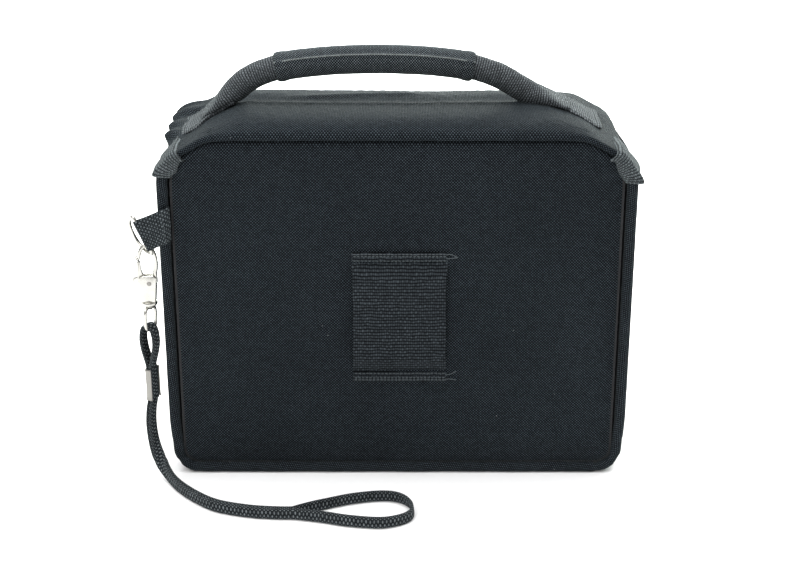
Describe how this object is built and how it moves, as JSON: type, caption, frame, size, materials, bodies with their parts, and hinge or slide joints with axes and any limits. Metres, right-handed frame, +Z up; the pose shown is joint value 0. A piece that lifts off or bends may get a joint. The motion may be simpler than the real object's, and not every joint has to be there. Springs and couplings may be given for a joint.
{
  "type": "miniature carry case",
  "caption": "Small padded fabric carry case with a zipped top lid, a rolled webbing handle, a belt loop on the back, foam trays inside and a clasp-on wrist strap.",
  "frame": {"origin": "on the ground under the middle of the case, on its flat underside", "axes": "+Z up; the back with the belt loop faces -Y, the front with the zip sliders faces +Y; +X is to the right of someone facing the back"},
  "size_m": [0.2289, 0.1369, 0.1963],
  "materials": {
    "cloth": "woven, matt",
    "webbing": "ribbed, matt",
    "lining": "smooth",
    "foam": "matt foam",
    "zip_coil": "satin",
    "dark_metal": "satin",
    "board": "matt",
    "nickel": "bright nickel"
  },
  "bodies": {
    "case": {"back_panel": "cloth", "front_panel": "cloth", "back_foam": "foam", "front_foam": "foam", "back_lining": "lining", "front_lining": "lining", "gusset_cover": "cloth", "gusset_foam": "foam", "gusset_lining": "lining", "back_piping": "cloth", "front_piping": "cloth", "belt_loop": "webbing", "bottom_board": "board", "foam_tray_bottom": "foam", "foam_tray_middle": "foam", "foam_tray_top": "foam", "body_zip_tape": "webbing", "body_zip_coil": "zip_coil", "side_tab": "webbing", "strap_run": "webbing", "strap_hand_loop": "webbing"},
    "lid": {"lid_cover": "cloth", "lid_foam": "foam", "lid_lining": "lining", "lid_zip_tape": "webbing", "lid_zip_coil": "zip_coil", "corner_tab_left": "webbing", "corner_tab_right": "webbing", "handle_foot_left": "webbing", "handle_foot_right": "webbing"},
    "handle": {"handle_core": "foam", "handle_webbing": "webbing", "handle_grip": "cloth"},
    "slider_left": {"slider_left": "dark_metal"},
    "slider_right": {"slider_right": "dark_metal"},
    "pull_left": {"pull_left": "dark_metal"},
    "pull_right": {"pull_right": "dark_metal"},
    "ring": {"d_ring": "nickel"},
    "clasp": {"clasp_hook": "nickel", "lever_pin": "nickel", "lever_spring": "nickel"},
    "lever": {"clasp_lever": "nickel"},
    "swivel": {"swivel_eye": "nickel", "strap_eye_loop": "webbing", "strap_crimp": "nickel"}
  },
  "joints": [
    {"name": "lid_hinge", "type": "hinge", "parent": "case", "child": "lid", "pos_m": [0, -0.0375, 0.165], "axis": [1, 0, 0], "range_deg": [0, 150]},
    {"name": "handle_swing", "type": "hinge", "parent": "lid", "child": "handle", "pos_m": [0, 0, 0.1717], "axis": [1, 0, 0], "range_deg": [-38, 38], "stiffness_Nm_per_rad": 0.05},
    {"name": "slider_left_run", "type": "slide", "parent": "case", "child": "slider_left", "axis": [-1, 0, 0], "range_m": [0, 0.082]},
    {"name": "slider_right_run", "type": "slide", "parent": "case", "child": "slider_right", "axis": [1, 0, 0], "range_m": [0, 0.082]},
    {"name": "pull_left_flip", "type": "hinge", "parent": "slider_left", "child": "pull_left", "pos_m": [-0.0054, 0.0426, 0.15], "axis": [1, 0, 0], "range_deg": [0, 110]},
    {"name": "pull_right_flip", "type": "hinge", "parent": "slider_right", "child": "pull_right", "pos_m": [0.0054, 0.0426, 0.15], "axis": [1, 0, 0], "range_deg": [0, 110]},
    {"name": "ring_swing", "type": "hinge", "parent": "case", "child": "ring", "pos_m": [-0.1127, -0.0402, 0.12], "axis": [0.3907, 0, -0.9205], "range_deg": [-80, 5]},
    {"name": "clasp_swing", "type": "hinge", "parent": "ring", "child": "clasp", "pos_m": [-0.11207, -0.0364, 0.11119], "axis": [0, 1, 0], "range_deg": [-1.5, 30]},
    {"name": "lever_press", "type": "hinge", "parent": "clasp", "child": "lever", "pos_m": [-0.1115, -0.0364, 0.09635], "axis": [0, 1, 0], "range_deg": [0, 20], "stiffness_Nm_per_rad": 0.01, "springref_deg": -11.46},
    {"name": "swivel_turn", "type": "hinge", "parent": "clasp", "child": "swivel", "pos_m": [-0.1122, -0.0364, 0.08535], "axis": [0, 0, 1], "range_deg": [-90, 90]}
  ]
}
